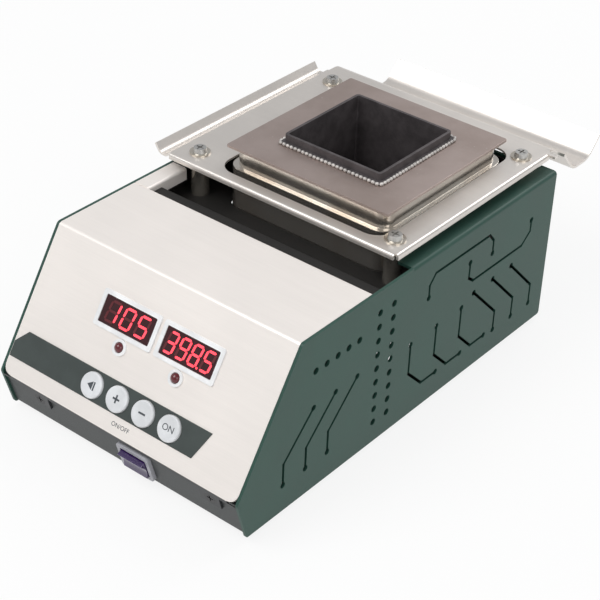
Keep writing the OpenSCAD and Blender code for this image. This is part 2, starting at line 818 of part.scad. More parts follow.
module board_standoffs() {
    color("white") for (p = standoff_at) on_panel(p.x, p.y) difference() {
        translate([0, 0, -board_top]) cylinder(d = 6, h = board_top - sheet_t);
        translate([0, 0, -board_top - 1]) cylinder(d = m3 - 0.4, h = 5);
    }
}

module board_screws() {
    color("silver") for (p = standoff_at) on_panel(p.x, p.y) translate([0, 0, -board_top - board_t])
        mirror([0, 0, 1]) screw(m3 - 0.5, 4.6, 5.4, 1.8);
}

// ---- Mains switch ----

module switch_housing() {
    in = -strip_in;
    color("#b9b7bd") on_strip(switch_x, switch_s) difference() {
        union() {
            round_plate(switch_w, switch_h, 2, in, in + bezel_t);
            round_plate(switch_w - 1, switch_h - 3.6, 0.6, in - 14, in + 0.5);
        }
        round_plate(rocker_w + 2 * run_gap, rocker_h + 2 * run_gap, 0.4, in - 10, in + bezel_t + 1);
        translate([-rocker_w / 2 - pivot_len - 0.2, 0, in + bezel_t - pivot_in]) rotate([0, 90, 0])
            cylinder(d = pivot_d + 0.1, h = rocker_w + 2 * pivot_len + 0.4);
    }
    color("goldenrod") on_strip(switch_x, switch_s) for (x = [-5, 5])
        translate([x - 0.4, -2.4, in - 20]) cube([0.8, 4.8, 6.2]);
}

// Section of the rocker about its pivot: a shallow hollow between two raised ends
function rocker_section() =
    let (h = rocker_h / 2 - 0.4, n = 10)
    concat(
        [[h, 0.6], [3.2, -4], [-3.2, -4], [-h, 0.6]],
        [for (i = [0:n]) let (u = -1 + 2 * i / n) [u * (h - 0.1), pivot_in + 0.4 + 1.7 * pow(abs(u), 1.5)]]
    );

module switch_rocker() {
    color("#3a2b55") on_strip(switch_x, switch_s) translate([0, 0, bezel_t - strip_in - pivot_in])
        rotate([rocker_tilt, 0, 0]) {
            translate([-rocker_w / 2, 0, 0]) rotate([90, 0, 90]) linear_extrude(rocker_w)
                polygon(rocker_section());
            translate([-rocker_w / 2 - pivot_len, 0, 0]) rotate([0, 90, 0])
                cylinder(d = pivot_d, h = rocker_w + 2 * pivot_len);
        }
}

// ---- Parts on the floor ----

module at_board2() {
    for (x = [-1, 1], y = [-1, 1])
        translate([board2_at.x + x * (board2_w / 2 - 5), board2_at.y + y * (board2_d / 2 - 5), 0]) children();
}

module power_board() {
    color("darkolivegreen") difference() {
        translate([board2_at.x - board2_w / 2, board2_at.y - board2_d / 2, board2_z]) cube([board2_w,
            board2_d, board_t]);
        at_board2() cylinder(d = m3 + 0.2, h = board2_z + 10);
    }
}

module power_board_posts() {
    color("silver") at_board2() translate([0, 0, floor_z]) difference() {
        cylinder(d = 6, h = board2_z - floor_z);
        translate([0, 0, -1]) cylinder(d = m3 - 0.4, h = 20);
    }
}

module power_board_screws() {
    color("silver") at_board2() {
        translate([0, 0, board2_z + board_t]) screw(m3 - 0.5, 4, 5.4, 1.6);
        translate([0, 0, base_z]) mirror([0, 0, 1]) screw(m3 - 0.5, 4.4, 5.4, 1.6);
    }
}

module heat_sink() {
    w = 34;
    color("#3b3b3b") translate([board2_at.x - w / 2, board2_at.y - 16, board2_z + board_t]) {
        cube([w, 3, 26]);
        for (i = [0:6]) translate([i * (w - 2) / 6, 2.5, 0]) cube([2, 9.5, 26]);
    }
}

module power_triac() {
    color("#202020") translate([board2_at.x - 5, board2_at.y - 16 - 4.5, board2_z + board_t + 6])
        cube([10, 4.4, 15]);
    color("silver") for (x = [-2.5, 0, 2.5])
        translate([board2_at.x + x - 0.4, board2_at.y - 18.8, board2_z + board_t]) cube([0.8, 0.6, 6.2]);
}

module terminal_block() {
    x = board2_at.x;
    y = board2_at.y + board2_d / 2 - 17;
    color("white") difference() {
        translate([x - 15, y, board2_z + board_t]) cube([30, 11, 12]);
        for (i = [-1:1]) translate([x + i * 9, y + 5.5, board2_z + board_t + 6]) cylinder(d = 4, h = 10);
        for (i = [-1:1]) translate([x + i * 9 - 2.4, y - 1, board2_z + board_t + 1]) cube([4.8, 6, 4.4]);
    }
}

module transformer_core() {
    color("dimgray") translate([core_at.x, core_at.y, floor_z]) difference() {
        translate([-20, -16, 0]) cube([40, 32, 32]);
        for (x = [-10, 10]) translate([x - 4.5, -17, 6]) cube([9, 34, 20]);
    }
}

module transformer_coil() {
    color("#b5651d") translate([core_at.x, core_at.y, floor_z]) difference() {
        translate([-14.2, -22, 6.3]) cube([28.4, 44, 19.4]);
        translate([-5.8, -16.3, 0]) cube([11.6, 32.6, 32]);
    }
}

module earth_stud() {
    color("goldenrod") translate([body_w / 2 - 24, nose_y + undercut + 26, floor_z]) {
        cylinder(d = 7, h = 3, $fn = 6);
        cylinder(d = 4, h = 12);
    }
}

// ---- Rear fittings ----

// Outline of the inlet's opening, grown by g, with its two upper corners cut off
module inlet_outline(g) {
    w = inlet_size.x / 2 + g;
    h = inlet_size.y / 2 + g;
    c = 4.5;
    polygon([[-w, h], [w, h], [w, c - h], [w - c, -h], [c - w, -h], [-w, c - h]]);
}

module mains_inlet() {
    color("#1b1b1b") on_rear(inlet_at.x, inlet_at.y) difference() {
        union() {
            linear_extrude(3) {
                square([inlet_pitch, inlet_size.y + 6], center = true);
                for (x = [-1, 1]) translate([x * inlet_pitch / 2, 0]) circle(d = 10);
            }
            translate([0, 0, -inlet_depth]) linear_extrude(inlet_depth + 1) inlet_outline(inlet_wall);
        }
        translate([0, 0, 2 - inlet_depth]) linear_extrude(inlet_depth + 2) inlet_outline(0);
        for (x = [-1, 1]) translate([x * inlet_pitch / 2, 0, -1]) cylinder(d = m3 + 0.2, h = 6);
        for (p = pin_at) translate([p.x - 1, p.y - 2, -inlet_depth - 1]) cube([2, 4, 4]);
    }
}

pin_at = [[-7, 2], [0, -2], [7, 2]];

module inlet_pins() {
    color("goldenrod") on_rear(inlet_at.x, inlet_at.y) for (p = pin_at)
        translate([p.x - 1, p.y - 2, -inlet_depth - 7]) cube([2, 4, inlet_depth + 5]);
}

module inlet_screws() {
    color("silver") for (x = [-1, 1]) on_rear(inlet_at.x + x * inlet_pitch / 2, inlet_at.y)
        translate([0, 0, 3]) screw(m3 - 0.1, 8, 5.6, 1.8);
}

module inlet_nuts() {
    color("silver") for (x = [-1, 1]) on_rear(inlet_at.x + x * inlet_pitch / 2, inlet_at.y)
        translate([0, 0, -panel_t - 2.4]) difference() {
            cylinder(d = 6.2, h = 2.4, $fn = 6);
            translate([0, 0, -1]) cylinder(d = m3, h = 5);
        }
}

module fuse_holder() {
    color("#1b1b1b") on_rear(fuse_at.x, fuse_at.y) difference() {
        union() {
            cylinder(d = 16, h = 2.4);
            translate([0, 0, -26]) cylinder(d = 11.6, h = 26.5);
        }
        translate([0, 0, -22]) cylinder(d = 7, h = 30);
        translate([0, 0, 0.4]) cylinder(d = 12.4, h = 4);
    }
}

module fuse_cap() {
    color("#262626") on_rear(fuse_at.x, fuse_at.y) difference() {
        union() {
            translate([0, 0, 0.6]) cylinder(d = 12, h = 6);
            translate([0, 0, -10]) cylinder(d = 6.6, h = 11);
        }
        translate([-5, -0.6, 5.4]) cube([10, 1.2, 3]);
    }
}

// ---- Fasteners and feet ----

module cover_screws() {
    color("#202020") for (x = tab_x) on_strip(x, tab_len / 2 + 1) flat_screw(m3 - 0.1, 7, 6.4);
}

module rear_screws() {
    color("silver") for (x = [-1, 1], z = rear_screw_z) on_rear(x * rear_screw_x, z) screw(m3 - 0.1, 6,
        5.6, 1.8);
}

module base_screws() {
    color("silver") for (x = [-1, 1], y = base_screw_y) translate([x * base_screw_x, y, base_z])
        mirror([0, 0, 1]) screw(m3 - 0.1, 6, 5.6, 1.8);
}

module at_feet() {
    for (x = [-foot_x, foot_x], y = foot_y) translate([x, y, base_z - foot_h]) children();
}

module rubber_feet() {
    color("#181818") at_feet() difference() {
        cylinder(d1 = 12, d2 = 14, h = foot_h);
        translate([0, 0, -1]) cylinder(d = 6.6, h = foot_h);
        cylinder(d = m3 + 0.2, h = foot_h + 1);
    }
}

module foot_screws() {
    color("silver") at_feet() translate([0, 0, foot_h - 1]) mirror([0, 0, 1]) screw(m3 - 0.1,
        foot_h + 2.5, 5.6, 1.4);
}

base_pan();
side_panel_left();
side_panel_right();
rear_panel();
front_cover();
well_pan();
drip_tray();
tray_posts();
tray_screws();
tray_washers();
post_screws();
pot();
mounting_plate();
heater_shell();
heater_band();
insulation_sleeve();
insulation_floor();
shell_base();
shell_legs();
leg_screws();
thermocouple();
key_overlay();
key_set();
key_plus();
key_minus();
key_on();
key_switches();
display_bezel_left();
display_bezel_right();
display_window_left();
display_window_right();
display_module_left();
display_module_right();
led_holders();
leds();
control_board();
board_standoffs();
board_screws();
switch_housing();
switch_rocker();
transformer_core();
transformer_coil();
power_board();
power_board_posts();
power_board_screws();
heat_sink();
power_triac();
terminal_block();
mains_inlet();
inlet_pins();
inlet_screws();
inlet_nuts();
fuse_holder();
fuse_cap();
cover_screws();
rear_screws();
base_screws();
rubber_feet();
foot_screws();
earth_stud();
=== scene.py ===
"""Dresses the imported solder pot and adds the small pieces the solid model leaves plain."""
from __future__ import annotations

import logging
import math
from dataclasses import dataclass, field
from enum import Enum
from typing import Any, Iterable, Optional, Sequence, Union

import bmesh
import bpy
from mathutils import Matrix, Vector


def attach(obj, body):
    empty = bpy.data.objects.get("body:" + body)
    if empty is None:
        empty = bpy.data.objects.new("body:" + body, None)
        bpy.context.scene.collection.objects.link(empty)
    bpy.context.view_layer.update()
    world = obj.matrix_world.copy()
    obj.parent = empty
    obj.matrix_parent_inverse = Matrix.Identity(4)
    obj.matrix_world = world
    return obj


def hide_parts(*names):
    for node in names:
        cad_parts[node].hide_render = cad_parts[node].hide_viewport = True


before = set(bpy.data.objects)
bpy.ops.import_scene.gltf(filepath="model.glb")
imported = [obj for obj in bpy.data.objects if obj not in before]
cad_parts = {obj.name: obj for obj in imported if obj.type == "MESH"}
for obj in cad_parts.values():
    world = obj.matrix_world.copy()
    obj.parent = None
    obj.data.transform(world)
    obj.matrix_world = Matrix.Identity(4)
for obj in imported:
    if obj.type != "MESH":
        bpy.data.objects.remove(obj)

log = logging.getLogger("solder_pot")
Colour = tuple[float, float, float]
Point = tuple[float, float, float]
MM = 0.001


# ---- Shader maths ----


class Field:
    """One socket's value in a node tree; arithmetic on it adds Math nodes."""

    def __init__(self, graph: "Graph", socket: bpy.types.NodeSocket) -> None:
        """Keeps the graph and the output socket that carries the value."""
        self.graph = graph
        self.socket = socket

    def _math(self, operation: str, *values: Any) -> "Field":
        """Adds a Math node.

        Args:
            operation: The node's operation, such as "ADD".
            *values: Numbers or fields, in the order of the node's inputs.

        Returns:
            The node's result.
        """
        return self.graph.node("ShaderNodeMath", {"operation": operation}, dict(enumerate(values)))

    def __add__(self, other: Any) -> "Field":
        """Sum."""
        return self._math("ADD", self, other)

    def __radd__(self, other: Any) -> "Field":
        """Sum, reflected."""
        return self._math("ADD", other, self)

    def __sub__(self, other: Any) -> "Field":
        """Difference."""
        return self._math("SUBTRACT", self, other)

    def __rsub__(self, other: Any) -> "Field":
        """Difference, reflected."""
        return self._math("SUBTRACT", other, self)

    def __mul__(self, other: Any) -> "Field":
        """Product."""
        return self._math("MULTIPLY", self, other)

    def __rmul__(self, other: Any) -> "Field":
        """Product, reflected."""
        return self._math("MULTIPLY", other, self)

    def larger(self, other: Any) -> "Field":
        """The larger of two values."""
        return self._math("MAXIMUM", self, other)

    def ramp(self, low: float, high: float) -> "Field":
        """Rises smoothly from 0 at low to 1 at high.

        Args:
            low: The value that gives 0.
            high: The value that gives 1.

        Returns:
            A field from 0 to 1.
        """
        return self.graph.node(
            "ShaderNodeMapRange", {"interpolation_type": "SMOOTHSTEP"},
            {"Value": self, "From Min": low, "From Max": high})


class Graph:
    """A material's node tree, with one method for every kind of node."""

    def __init__(self, name: str) -> None:
        """Makes an empty material of that name."""
        self.material = bpy.data.materials.new(name)
        self.material.use_nodes = True
        self.tree = self.material.node_tree
        self.tree.nodes.clear()

    def node(self, kind: str, settings: Optional[dict[str, Any]] = None,
             inputs: Optional[dict[Any, Any]] = None, out: Union[int, str] = 0) -> Field:
        """Adds a node of any kind.

        Args:
            kind: The node's type name.
            settings: Attributes set first; "stops" holds a ramp's (place, colour) pairs.
            inputs: Values or fields for its inputs, by name or number.
            out: The output that is handed back.

        Returns:
            The chosen output as a field.
        """
        made = self.tree.nodes.new(kind)
        for key, value in (settings or {}).items():
            if key == "stops":
                while len(made.color_ramp.elements) < len(value):
                    made.color_ramp.elements.new(1.0)
                for element, (place, colour) in zip(made.color_ramp.elements, value):
                    element.position = place
                    element.color = (*colour, 1.0)
            else:
                setattr(made, key, value)
        for key, value in (inputs or {}).items():
            if isinstance(value, Field):
                self.tree.links.new(value.socket, made.inputs[key])
            elif isinstance(value, tuple) and len(value) == 3 and made.inputs[key].type == "RGBA":
                made.inputs[key].default_value = (*value, 1.0)
            else:
                made.inputs[key].default_value = value
        return Field(self, made.outputs[out])

    def place(self, stretch: Point = (1.0, 1.0, 1.0), turn: Point = (0.0, 0.0, 0.0)) -> Field:
        """Object coordinates, stretched and turned.

        Args:
            stretch: The scale along each axis.
            turn: The turn about each axis, in degrees.

        Returns:
            The vector field.
        """
        raw = self.node("ShaderNodeTexCoord", out="Object")
        return self.node("ShaderNodeMapping", {}, {
            "Vector": raw, "Scale": stretch, "Rotation": tuple(math.radians(a) for a in turn)})

    def axis(self, which: int, vector: Optional[Field] = None) -> Field:
        """One coordinate of a vector, by its number."""
        return self.node("ShaderNodeSeparateXYZ", {}, {0: vector or self.place()}, out=which)

    def noise(self, scale: float, detail: float = 3.0, vector: Optional[Field] = None,
              rough: float = 0.55) -> Field:
        """Noise from 0 to 1.

        Args:
            scale: How many features there are in a metre.
            detail: The number of octaves.
            vector: Where it is read; plain object coordinates if left out.
            rough: The strength of the finer octaves.

        Returns:
            The noise's value.
        """
        return self.node("ShaderNodeTexNoise", {}, {
            "Vector": vector or self.place(), "Scale": scale, "Detail": detail, "Roughness": rough})

    def cells(self, scale: float, vector: Optional[Field] = None) -> Field:
        """Distance to the nearest of scattered points."""
        return self.node("ShaderNodeTexVoronoi", {}, {"Vector": vector or self.place(), "Scale": scale})

    def mix(self, share: Any, low: Any, high: Any) -> Field:
        """Mixes two colours.

        Args:
            share: 0 for low, 1 for high.
            low: A colour or a field.
            high: A colour or a field.

        Returns:
            The mixed colour.
        """
        made = self.tree.nodes.new("ShaderNodeMix")
        made.data_type = "RGBA"
        ends = [s for s in made.inputs if s.type == "RGBA"]
        for socket, value in ((made.inputs[0], share), (ends[0], low), (ends[1], high)):
            if isinstance(value, Field):
                self.tree.links.new(value.socket, socket)
            else:
                socket.default_value = (*value, 1.0) if isinstance(value, tuple) else value
        return Field(self, next(s for s in made.outputs if s.type == "RGBA"))

    def bump(self, height: Field, depth: float, strength: float = 1.0) -> Field:
        """A normal from a height field, depth in metres."""
        return self.node("ShaderNodeBump", {}, {"Height": height, "Distance": depth, "Strength": strength})

    def surface(self, **sockets: Any) -> bpy.types.Material:
        """Closes the tree with a Principled shader.

        Args:
            **sockets: Its inputs, with _ in place of spaces.

        Returns:
            The finished material.
        """
        shader = self.node("ShaderNodeBsdfPrincipled", {},
            {k.replace("_", " "): v for k, v in sockets.items()})
        self.node_out(shader)
        return self.material

    def node_out(self, shader: Field) -> None:
        """Links a shader to the material's output."""
        end = self.tree.nodes.new("ShaderNodeOutputMaterial")
        self.tree.links.new(shader.socket, end.inputs["Surface"])


# ---- Finishes ----


class Grain(Enum):
    """The way a brushed sheet's grain runs."""

    ACROSS = (0.03, 1.0, 1.0)


@dataclass(frozen=True)
class PowderCoat:
    """Baked paint with a fine texture, a little worn."""

    name: str
    colour: Colour
    gloss: float = 0.42

    def build(self) -> bpy.types.Material:
        """Makes the material."""
        g = Graph(self.name)
        fine = g.noise(2600, 2)
        broad = g.noise(26, 3)
        tint = g.mix(broad.ramp(0.3, 0.75) * 0.5, self.colour, tuple(c * 1.35 + 0.004 for c in self.colour))
        return g.surface(Base_Color=tint, Roughness=self.gloss + broad * 0.12 + fine * 0.05,
                         Normal=g.bump(fine + g.noise(900, 2) * 0.8, 0.00006), Specular_IOR_Level=0.45)


@dataclass(frozen=True)
class BrushedSteel:
    """Stainless sheet with a directional grain and faint handling marks."""

    name: str
    tone: Colour
    grain: Grain
    gloss: float = 0.3
    metal: float = 0.82
    # Faces below this height in metres turn near black and lose their metal; -1 leaves the whole sheet steel.
    darkened_below: float = -1.0

    def build(self) -> bpy.types.Material:
        """Makes the material."""
        g = Graph(self.name)
        lines = g.noise(1500, 4, g.place(self.grain.value), 0.7)
        long = g.noise(240, 3, g.place(self.grain.value), 0.6)
        marks = g.noise(18, 4)
        tint = g.mix(lines * 0.35 + long * 0.3, tuple(c * 0.88 for c in self.tone),
            tuple(min(1.0, c * 1.08) for c in self.tone))
        # Darker towards the bottom: near black and not metallic under that height.
        low = g.axis(2).ramp(self.darkened_below + 0.0004, self.darkened_below)
        return g.surface(Base_Color=g.mix(low, tint, (0.028, 0.03, 0.032)), Metallic=(1.0 - low) * self.metal,
                         Roughness=self.gloss + marks.ramp(0.35, 0.7) * 0.1 + lines * 0.06,
                         Normal=g.bump(lines + long * 0.5, 0.000003))


@dataclass(frozen=True)
class TintedSteel:
    """Polished steel that heat has coloured and splashes have spotted."""

    name: str
    tone: Colour
    tint: Colour
    gloss: float
    spotted: float = 0.5

    def build(self) -> bpy.types.Material:
        """Makes the material."""
        g = Graph(self.name)
        cloud = g.noise(24, 5, rough=0.6)
        streak = g.noise(300, 3, g.place((1.0, 1.0, 0.15)))
        spots = g.cells(340).ramp(0.16, 0.04) * g.noise(60, 2).ramp(0.5, 0.62) * self.spotted
        base = g.mix(cloud.ramp(0.3, 0.72), self.tone, self.tint)
        shade = g.mix(spots, base, (0.82, 0.82, 0.8))
        return g.surface(Base_Color=shade, Metallic=0.9, Roughness=self.gloss + streak * 0.1 + cloud * 0.08,
                         Normal=g.bump(spots * 2.0 + streak * 0.2 + cloud * 0.5, 0.00005))


@dataclass(frozen=True)
class DullIron:
    """Oxidised metal of the pot, with a blotchy scale and grit."""

    name: str
    colour: Colour

    def build(self) -> bpy.types.Material:
        """Makes the material."""
        g = Graph(self.name)
        scale = g.noise(140, 6, rough=0.65)
        grit = g.noise(1200, 3)
        tint = g.mix(scale.ramp(0.3, 0.7), tuple(c * 0.8 for c in self.colour),
            tuple(c * 1.25 for c in self.colour))
        return g.surface(Base_Color=tint, Metallic=0.55, Roughness=0.45 + scale * 0.25,
                         Normal=g.bump(scale + grit * 0.4, 0.00012))


@dataclass(frozen=True)
class Moulding:
    """Moulded plastic or rubber with a fine spark-eroded texture."""

    name: str
    colour: Colour
    gloss: float = 0.4
    texture: float = 0.00003
    coat: float = 0.0

    def build(self) -> bpy.types.Material:
        """Makes the material."""
        g = Graph(self.name)
        fine = g.noise(1800, 2)
        broad = g.noise(90, 3)
        tint = g.mix(broad.ramp(0.3, 0.75), tuple(c * 0.9 for c in self.colour),
            tuple(min(1.0, c * 1.08) for c in self.colour))
        return g.surface(Base_Color=tint, Roughness=self.gloss + broad * 0.08, Coat_Weight=self.coat,
                         Coat_Roughness=0.08, Normal=g.bump(fine, self.texture))


@dataclass(frozen=True)
class Fibre:
    """Felted ceramic or taped winding."""

    name: str
    colour: Colour

    def build(self) -> bpy.types.Material:
        """Makes the material."""
        g = Graph(self.name)
        tuft = g.noise(500, 5, g.place((1.0, 1.0, 0.3)), 0.7)
        tint = g.mix(tuft, tuple(c * 0.75 for c in self.colour),
            tuple(min(1.0, c * 1.1) for c in self.colour))
        return g.surface(Base_Color=tint, Roughness=0.95, Normal=g.bump(tuft, 0.0003))


@dataclass(frozen=True)
class Board:
    """Solder mask with tracks under it."""

    name: str
    colour: Colour

    def build(self) -> bpy.types.Material:
        """Makes the material."""
        g = Graph(self.name)
        tracks = g.cells(170).ramp(0.28, 0.22)
        tint = g.mix(tracks * 0.6, self.colour, tuple(c * 1.8 + 0.01 for c in self.colour))
        return g.surface(Base_Color=tint, Roughness=0.3 + g.noise(300) * 0.1, Normal=g.bump(tracks, 0.00004))


@dataclass(frozen=True)
class Glow:
    """A lit or unlit display segment."""

    name: str
    colour: Colour
    strength: float

    def build(self) -> bpy.types.Material:
        """Makes the material."""
        g = Graph(self.name)
        cloud = g.noise(700, 2)
        tint = g.mix(cloud * 0.4, self.colour, tuple(min(1.0, c * 1.3 + 0.01) for c in self.colour))
        return g.surface(Base_Color=tint, Roughness=0.35 + cloud * 0.1, Emission_Color=tint,
                         Emission_Strength=self.strength)


# ---- Mesh helpers ----


def to_object(name: str, bm: bmesh.types.BMesh, material: bpy.types.Material, body: str,
              smooth: Optional[float] = 35.0) -> bpy.types.Object:
    """Turns a bmesh into a piece that rides on a body.

    Args:
        name: The piece's name.
        bm: The mesh, in metres in the row frame; it is freed.
        material: Its material.
        body: The body it rides on.
        smooth: The angle in degrees under which edges shade smooth, or None for flat.

    Returns:
        The new object.
    """
    mesh = bpy.data.meshes.new(name)
    bm.to_mesh(mesh)
    bm.free()
    obj = bpy.data.objects.new(name, mesh)
    bpy.context.scene.collection.objects.link(obj)
    mesh.materials.append(material)
    if smooth is not None:
        shade(mesh, smooth)
    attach(obj, body)
    log.info("%s: %d faces on %s", name, len(mesh.polygons), body)
    return obj


def shade(mesh: bpy.types.Mesh, angle: float) -> None:
    """Shades a mesh smooth except across edges sharper than angle degrees."""
    bm = bmesh.new()
    bm.from_mesh(mesh)
    for face in bm.faces:
        face.smooth = True
    for edge in bm.edges:
        edge.smooth = len(edge.link_faces) == 2 and edge.calc_face_angle(0.0) < math.radians(angle)
    bm.to_mesh(mesh)
    bm.free()


def extrude_outline(bm: bmesh.types.BMesh, outline: Sequence[tuple[float, float]], low: float, high: float,
                    place: Matrix) -> None:
    """Adds a prism over an outline.

    Args:
        bm: The mesh it is added to.
        outline: Points in millimetres, anticlockwise.
        low: The bottom's height in millimetres.
        high: The top's height in millimetres.
        place: The turn and place, in metres.
    """
    rings = [[bm.verts.new(place @ Vector((x * MM, y * MM, z * MM))) for x, y in outline] for z in (low,
        high)]
    bm.faces.new(list(reversed(rings[0])))
    bm.faces.new(rings[1])
    count = len(outline)
    for i in range(count):
        j = (i + 1) % count
        bm.faces.new((rings[0][i], rings[0][j], rings[1][j], rings[1][i]))


def lathe(bm: bmesh.types.BMesh, profile: Sequence[tuple[float, float]], place: Matrix,
    steps: int = 64) -> None:
    """Adds a closed turned shape.

    Args:
        bm: The mesh it is added to.
        profile: (radius, height) pairs in millimetres, from the lower pole to the upper one.
        place: The turn and place, in metres.
        steps: The number of facets round the axis.
    """
    rings: list[list[bmesh.types.BMVert]] = []
    for radius, height in profile:
        if radius < 1e-6:
            rings.append([bm.verts.new(place @ Vector((0, 0, height * MM)))])
            continue
        rings.append([bm.verts.new(place @ Vector((radius * MM * math.cos(a), radius * MM * math.sin(a),
            height * MM)))
                      for a in (2 * math.pi * i / steps for i in range(steps))])
    for lower, upper in zip(rings, rings[1:]):
        for i in range(steps):
            j = (i + 1) % steps
            corners = [lower[i % len(lower)], lower[j % len(lower)], upper[j % len(upper)],
                upper[i % len(upper)]]
            unique = list(dict.fromkeys(corners))
            if len(unique) > 2:
                bm.faces.new(unique)


def stroke(start: tuple[float, float], end: tuple[float, float], width: float) -> list[tuple[float, float]]:
    """The outline of a straight line of a width, anticlockwise."""
    a, b = Vector(start), Vector(end)
    side = Vector((-(b - a).y, (b - a).x)).normalized() * width / 2
    return [tuple(a - side), tuple(b - side), tuple(b + side), tuple(a + side)]


def refine(node: str, width: float, material: bpy.types.Material, body: str = "case",
           angle: float = 30.0) -> bpy.types.Object:
    """Copies a solid's mesh, eases its sharp edges and stands the copy in for it.

    Args:
        node: The solid's node.
        width: The width of the eased edge, in millimetres.
        material: The finish.
        body: The body it rides on.
        angle: Edges sharper than this are eased, in degrees.

    Returns:
        The finished piece.
    """
    bm = bmesh.new()
    bm.from_mesh(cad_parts[node].data)
    bmesh.ops.remove_doubles(bm, verts=bm.verts, dist=2e-6)
    bmesh.ops.dissolve_limit(bm, angle_limit=math.radians(0.5), verts=bm.verts, edges=bm.edges)
    sharp = [e for e in bm.edges if len(e.link_faces) == 2 and e.calc_face_angle(0.0) > math.radians(angle)]
    bmesh.ops.bevel(bm, geom=sharp, offset=width * MM, segments=2, profile=0.6, affect="EDGES",
                    clamp_overlap=True)
    bmesh.ops.triangulate(bm, faces=[f for f in bm.faces if len(f.verts) > 4])
    piece = to_object(node + "_eased", bm, material, body, 40.0)
    even = piece.modifiers.new("even faces", "WEIGHTED_NORMAL")
    even.weight = 100
    even.keep_sharp = True
    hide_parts(node)
    return piece


# ---- Geometry Nodes ----


class Tree:
    """A Geometry Nodes group with named inputs."""

    def __init__(self, name: str) -> None:
        """Makes an empty group with a geometry input and output."""
        self.group = bpy.data.node_groups.new(name, "GeometryNodeTree")
        self.group.interface.new_socket("Geometry", in_out="INPUT", socket_type="NodeSocketGeometry")
        self.group.interface.new_socket("Geometry", in_out="OUTPUT", socket_type="NodeSocketGeometry")
        self.keys: dict[str, str] = {}
        self.source: Optional[bpy.types.Node] = None

    def value(self, name: str, kind: str = "NodeSocketFloat") -> None:
        """Adds a named input of a socket type."""
        self.keys[name] = self.group.interface.new_socket(name, in_out="INPUT", socket_type=kind).identifier

    def start(self) -> bpy.types.Node:
        """Adds the input node, once every input is named."""
        self.source = self.group.nodes.new("NodeGroupInput")
        return self.source

    def add(self, kind: str, settings: Optional[dict[str, Any]] = None,
            inputs: Optional[dict[Any, Any]] = None) -> bpy.types.Node:
        """Adds a node.

        Args:
            kind: The node's type name.
            settings: Attributes that are set first.
            inputs: Values or sockets for its inputs.

        Returns:
            The node.
        """
        made = self.group.nodes.new(kind)
        for key, value in (settings or {}).items():
            setattr(made, key, value)
        for key, value in (inputs or {}).items():
            if isinstance(value, bpy.types.NodeSocket):
                self.group.links.new(value, made.inputs[key])
            else:
                made.inputs[key].default_value = value
        return made

    def close(self, geometry: bpy.types.NodeSocket, material: bpy.types.NodeSocket) -> None:
        """Ends the tree with realised instances and a material."""
        solid = self.add("GeometryNodeRealizeInstances", {}, {"Geometry": geometry})
        dressed = self.add("GeometryNodeSetMaterial", {},
            {"Geometry": solid.outputs[0], "Material": material})
        end = self.group.nodes.new("NodeGroupOutput")
        self.group.links.new(dressed.outputs[0], end.inputs[0])

    def apply(self, name: str, seed_mesh: bpy.types.Mesh, values: dict[str, Any], body: str, slot: str,
              smooth: Optional[float] = 40.0) -> bpy.types.Object:
        """Runs the tree on a mesh and keeps the result as a plain piece.

        Args:
            name: The piece's name.
            seed_mesh: The mesh the tree starts from.
            values: Its inputs by name.
            body: The body the piece rides on.
            slot: Not used.
            smooth: The shading angle, or None for flat.

        Returns:
            The finished piece.
        """
        carrier = bpy.data.objects.new(name + "_seed", seed_mesh)
        bpy.context.scene.collection.objects.link(carrier)
        modifier = carrier.modifiers.new("make", "NODES")
        modifier.node_group = self.group
        for key, value in values.items():
            modifier[self.keys[key]] = value
        graph = bpy.context.evaluated_depsgraph_get()
        mesh = bpy.data.meshes.new_from_object(carrier.evaluated_get(graph))
        mesh.name = name
        bpy.data.objects.remove(carrier)
        piece = bpy.data.objects.new(name, mesh)
        bpy.context.scene.collection.objects.link(piece)
        if smooth is not None:
            shade(mesh, smooth)
        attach(piece, body)
        log.info("%s: %d faces on %s", name, len(mesh.polygons), body)
        return piece


def line_mesh(name: str, points: Sequence[Vector], closed: bool) -> bpy.types.Mesh:
    """A mesh of edges through points, in metres."""
    count = len(points)
    edges = [(i, (i + 1) % count) for i in range(count if closed else count - 1)]
    mesh = bpy.data.meshes.new(name)
    mesh.from_pydata([tuple(p) for p in points], edges, [])
    return mesh


def beads_tree() -> Tree:
    """Beads laid at even steps along a line: spacing, size and flatness are inputs."""
    tree = Tree("beads along a line")
    tree.value("Step")
    tree.value("Size")
    tree.value("Stretch", "NodeSocketVector")
    tree.value("Material", "NodeSocketMaterial")
    start = tree.start()
    curve = tree.add("GeometryNodeMeshToCurve", {}, {"Mesh": start.outputs["Geometry"]})
    points = tree.add("GeometryNodeCurveToPoints", {"mode": "LENGTH"},
                      {"Curve": curve.outputs[0], "Length": start.outputs["Step"]})
    ball = tree.add("GeometryNodeMeshIcoSphere", {}, {"Radius": start.outputs["Size"], "Subdivisions": 2})
    laid = tree.add("GeometryNodeInstanceOnPoints", {}, {
        "Points": points.outputs["Points"], "Instance": ball.outputs["Mesh"],
            "Rotation": points.outputs["Rotation"],
        "Scale": start.outputs["Stretch"]})
    tree.close(laid.outputs[0], start.outputs["Material"])
    return tree


# ---- The product ----


@dataclass
class Panel:
    """The sloped control panel as a plane to put things on."""

    fold_y: float = -80.5
    fold_z: float = 86.5
    nose_y: float = -122.0
    nose_z: float = 22.0

    @property
    def angle(self) -> float:
        """The slope from the horizontal, in radians."""
        return math.atan2(self.fold_z - self.nose_z, self.fold_y - self.nose_y)

    def at(self, x: float, s: float, lift: float = 0.0) -> Matrix:
        """A place on the panel.

        Args:
            x: Millimetres across.
            s: Millimetres down the slope from the fold.
            lift: Millimetres out of the face.

        Returns:
            The matrix that puts a flat shape there, its +Y up the slope.
        """
        c, n = math.cos(self.angle), math.sin(self.angle)
        spot = Vector((x, self.fold_y - s * c - lift * n, self.fold_z - s * n + lift * c)) * MM
        return Matrix.Translation(spot) @ Matrix.Rotation(self.angle, 4, "X")


